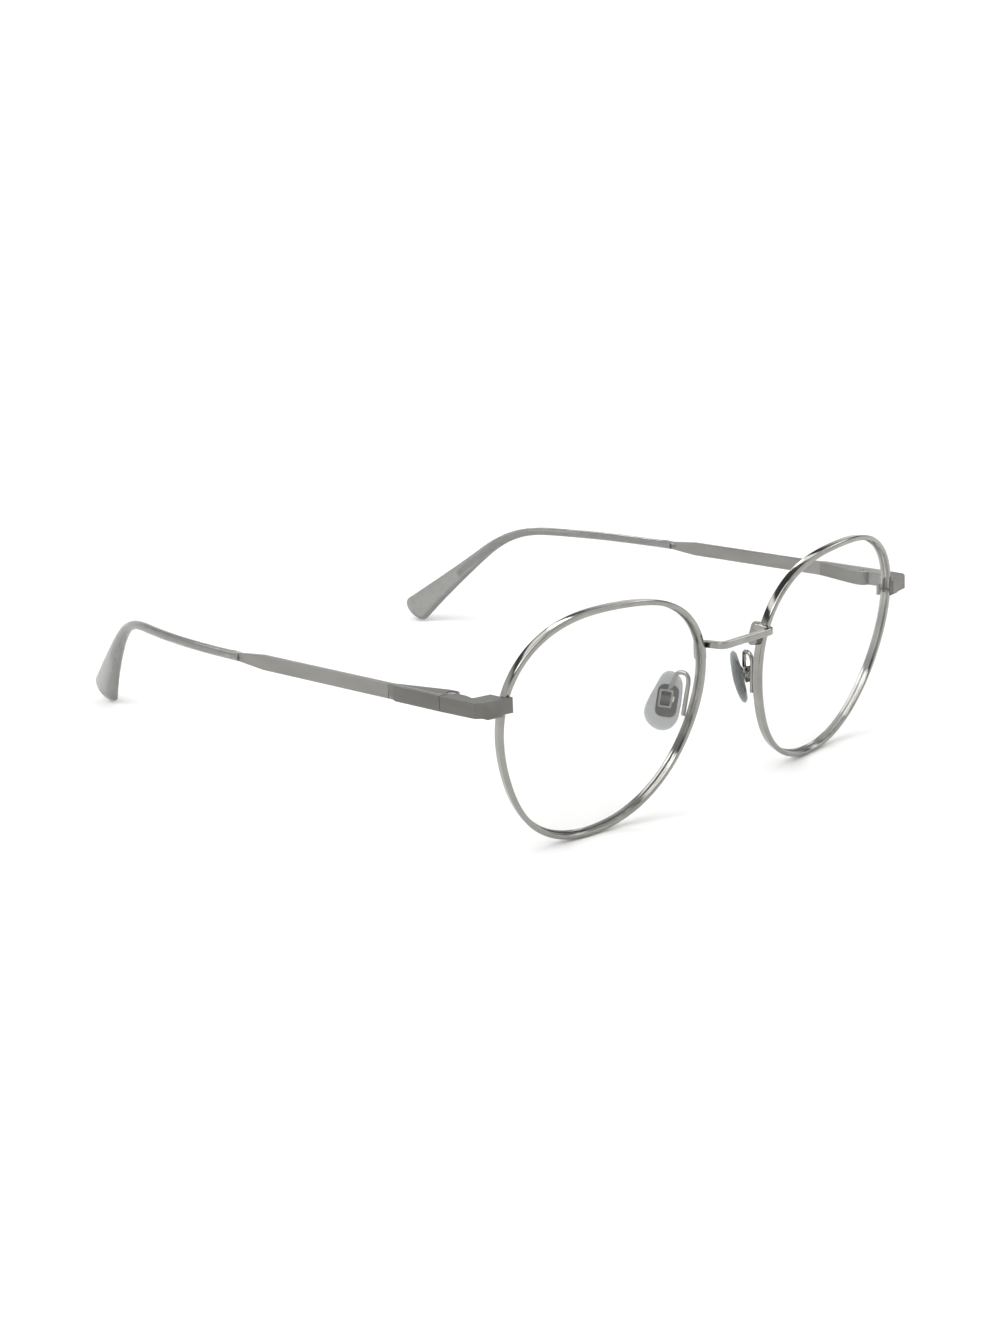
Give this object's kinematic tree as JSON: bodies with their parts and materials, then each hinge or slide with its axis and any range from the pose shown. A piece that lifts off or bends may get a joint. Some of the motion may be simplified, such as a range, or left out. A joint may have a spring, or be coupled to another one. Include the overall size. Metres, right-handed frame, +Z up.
{
  "type": "eyeglasses",
  "caption": "Round wire eyeglasses with clear lenses, adjustable nose pads, L-shaped endpieces and folding temples with translucent tips.",
  "frame": {"origin": "centre of the footprint at the surface that the rims' lowest points and the temple tips stand on", "axes": "+Z up, X across the face with +X at the wearer's left, the front of the glasses faces -Y and the temples run to +Y"},
  "size_m": [0.1326, 0.1514, 0.0472],
  "materials": {
    "polished_metal": "polished warm gunmetal plating",
    "satin_metal": "satin gunmetal, fine lengthwise brushing",
    "blade_metal": "satin gunmetal, lighter, fine lengthwise brushing",
    "screw_steel": "turned steel",
    "lens": "clear, gloss",
    "pad_silicone": "translucent, soft gloss",
    "pad_core": "satin steel plate with its pin lug",
    "tip_sleeve": "translucent smoke grey, gloss"
  },
  "bodies": {
    "front": {"bridge": "polished_metal", "rim_left": "polished_metal", "rim_right": "polished_metal", "lens_left": "lens", "lens_right": "lens", "endpiece_left": "satin_metal", "endpiece_right": "satin_metal", "rim_lock_upper_left": "satin_metal", "rim_lock_upper_right": "satin_metal", "rim_lock_lower_left": "satin_metal", "rim_lock_lower_right": "satin_metal", "rim_lock_screw_left": "screw_steel", "rim_lock_screw_right": "screw_steel", "hinge_leaf_front_left": "satin_metal", "hinge_leaf_front_right": "satin_metal", "hinge_screw_left": "screw_steel", "hinge_screw_right": "screw_steel", "bridge_lug_left": "polished_metal", "bridge_lug_right": "polished_metal", "pad_arm_left": "polished_metal", "pad_arm_right": "polished_metal", "pad_box_left": "polished_metal", "pad_box_right": "polished_metal", "pad_screw_left": "screw_steel", "pad_screw_right": "screw_steel"},
    "temple_left": {"hinge_leaf_temple_left": "satin_metal", "temple_plate_left": "satin_metal", "temple_blade_left": "blade_metal", "temple_sleeve_left": "tip_sleeve"},
    "temple_right": {"hinge_leaf_temple_right": "satin_metal", "temple_plate_right": "satin_metal", "temple_blade_right": "blade_metal", "temple_sleeve_right": "tip_sleeve"},
    "nose_pad_left": {"pad_insert_left": "pad_core", "nose_pad_left": "pad_silicone"},
    "nose_pad_right": {"pad_insert_right": "pad_core", "nose_pad_right": "pad_silicone"}
  },
  "joints": [
    {"name": "temple_left_fold", "type": "hinge", "parent": "front", "child": "temple_left", "pos_m": [0.0624, -0.0569, 0.03165], "axis": [0, 0.0539, 0.9985], "range_deg": [0, 85]},
    {"name": "temple_right_fold", "type": "hinge", "parent": "front", "child": "temple_right", "pos_m": [-0.0624, -0.0569, 0.03165], "axis": [0, -0.0539, -0.9985], "range_deg": [0, 76]},
    {"name": "nose_pad_left_rock", "type": "hinge", "parent": "front", "child": "nose_pad_left", "pos_m": [0.01247, -0.06496, 0.02258], "axis": [0.616, 0.7765, 0.1324], "range_deg": [-10, 10]},
    {"name": "nose_pad_right_rock", "type": "hinge", "parent": "front", "child": "nose_pad_right", "pos_m": [-0.01247, -0.06496, 0.02258], "axis": [-0.616, 0.7765, 0.1324], "range_deg": [-10, 10]}
  ]
}
